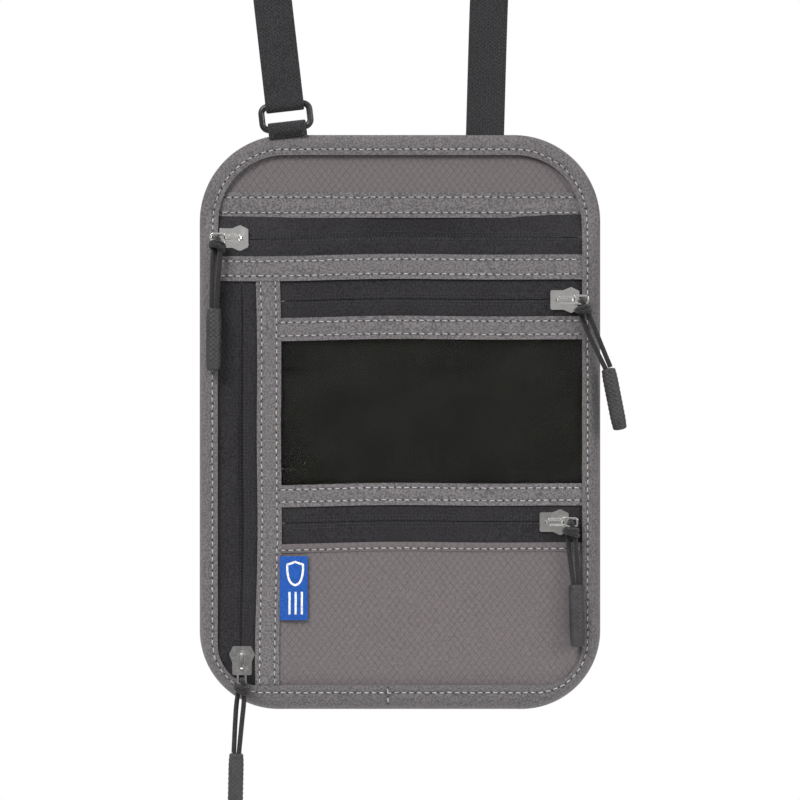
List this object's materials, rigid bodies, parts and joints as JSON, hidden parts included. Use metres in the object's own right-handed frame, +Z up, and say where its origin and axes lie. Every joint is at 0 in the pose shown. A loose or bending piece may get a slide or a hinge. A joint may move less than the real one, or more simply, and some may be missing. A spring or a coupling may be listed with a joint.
{
  "type": "neck pouch wallet",
  "caption": "Flat zipped organiser pouch with a clear card window and cord zip pulls, hung from an adjustable webbing neck strap.",
  "frame": {"origin": "inside the top of the strap loop, where the neck carries it", "axes": "+Z up along the hanging pouch, +Y through the pouch to its back, +X across it"},
  "size_m": [0.1668, 0.022, 0.5968],
  "materials": {
    "ripstop": "ripstop nylon with a low sheen",
    "binding_tape": "plain woven polyester",
    "lining": "dark coated lining",
    "shield_film": "metallised shield film",
    "clear_film": "clear flexible film",
    "woven_label": "satin woven label",
    "zip_tape": "herringbone zip tape",
    "zip_coil": "nylon coil",
    "slider_metal": "bright nickel plate",
    "pull_cord": "braided polyester",
    "grip_rubber": "moulded, matt",
    "webbing": "flat woven webbing",
    "strap_hardware": "moulded acetal"
  },
  "bodies": {
    "pouch": {"back_panel": "ripstop", "upper_panel": "ripstop", "ripstop_pocket": "ripstop", "edge_binding": "binding_tape", "main_zip_upper_trim": "binding_tape", "main_zip_lower_trim": "binding_tape", "side_trim": "binding_tape", "window_top_trim": "binding_tape", "window_bottom_trim": "binding_tape", "pocket_hem": "binding_tape", "main_front_wall": "lining", "organiser_backing": "lining", "window_backing": "lining", "shield_sheet": "shield_film", "clear_window": "clear_film", "woven_label": "woven_label", "main_zip_upper_tape": "zip_tape", "main_zip_upper_coil": "zip_coil", "main_zip_lower_tape": "zip_tape", "main_zip_lower_coil": "zip_coil", "main_zip_stops": "slider_metal", "front_zip_upper_tape": "zip_tape", "front_zip_upper_coil": "zip_coil", "front_zip_lower_tape": "zip_tape", "front_zip_lower_coil": "zip_coil", "front_zip_stop": "slider_metal", "pocket_zip_upper_tape": "zip_tape", "pocket_zip_upper_coil": "zip_coil", "pocket_zip_lower_tape": "zip_tape", "pocket_zip_lower_coil": "zip_coil", "pocket_zip_stop": "slider_metal", "side_zip_left_tape": "zip_tape", "side_zip_left_coil": "zip_coil", "side_zip_right_tape": "zip_tape", "side_zip_right_coil": "zip_coil", "side_zip_stops": "slider_metal", "strap_webbing": "webbing", "strap_return": "webbing", "strap_anchor_tab": "webbing", "strap_ring": "strap_hardware"},
    "main_slider": {"main_slider": "slider_metal"},
    "main_pull": {"main_pull_tab": "slider_metal", "main_pull_cord": "pull_cord", "main_pull_grip": "grip_rubber"},
    "front_slider": {"front_slider": "slider_metal"},
    "front_pull": {"front_pull_tab": "slider_metal", "front_pull_cord": "pull_cord", "front_pull_grip": "grip_rubber"},
    "pocket_slider": {"pocket_slider": "slider_metal"},
    "pocket_pull": {"pocket_pull_tab": "slider_metal", "pocket_pull_cord": "pull_cord", "pocket_pull_grip": "grip_rubber"},
    "side_slider": {"side_slider": "slider_metal"},
    "side_pull": {"side_pull_tab": "slider_metal", "side_pull_cord": "pull_cord", "side_pull_grip": "grip_rubber"},
    "tri_glide": {"tri_glide": "strap_hardware"}
  },
  "joints": [
    {"name": "main_zip_slide", "type": "slide", "parent": "pouch", "child": "main_slider", "axis": [1, 0, 0], "range_m": [0, 0.128], "deforming": ["main_zip_upper_tape", "main_zip_upper_coil", "main_zip_lower_tape", "main_zip_lower_coil"]},
    {"name": "main_pull_swing", "type": "hinge", "parent": "main_slider", "child": "main_pull", "pos_m": [-0.06295, -0.0093, -0.3707], "axis": [0, 0, 1], "range_deg": [0, 135]},
    {"name": "front_zip_slide", "type": "slide", "parent": "pouch", "child": "front_slider", "axis": [1, 0, 0], "range_m": [-0.103, 0], "deforming": ["front_zip_upper_tape", "front_zip_upper_coil", "front_zip_lower_tape", "front_zip_lower_coil"]},
    {"name": "front_pull_swing", "type": "hinge", "parent": "front_slider", "child": "front_pull", "pos_m": [0.0624, -0.01105, -0.3949], "axis": [0, 0, -1], "range_deg": [0, 165]},
    {"name": "pocket_zip_slide", "type": "slide", "parent": "pouch", "child": "pocket_slider", "axis": [1, 0, 0], "range_m": [-0.099, 0.004], "deforming": ["pocket_zip_upper_tape", "pocket_zip_upper_coil", "pocket_zip_lower_tape", "pocket_zip_lower_coil"]},
    {"name": "pocket_pull_swing", "type": "hinge", "parent": "pocket_slider", "child": "pocket_pull", "pos_m": [0.0582, -0.01105, -0.4815], "axis": [0, 0, -1], "range_deg": [0, 165]},
    {"name": "side_zip_slide", "type": "slide", "parent": "pouch", "child": "side_slider", "axis": [0, 0, 1], "range_m": [0, 0.14], "deforming": ["side_zip_left_tape", "side_zip_left_coil", "side_zip_right_tape", "side_zip_right_coil"]},
    {"name": "side_pull_swing", "type": "hinge", "parent": "side_slider", "child": "side_pull", "pos_m": [-0.0616, -0.01105, -0.5336], "axis": [-1, 0, 0], "range_deg": [0, 165]},
    {"name": "strap_adjust", "type": "slide", "parent": "pouch", "child": "tri_glide", "axis": [-0.1132, 0, 0.9936], "range_m": [-0.06, 0.01], "deforming": ["strap_return"]}
  ]
}
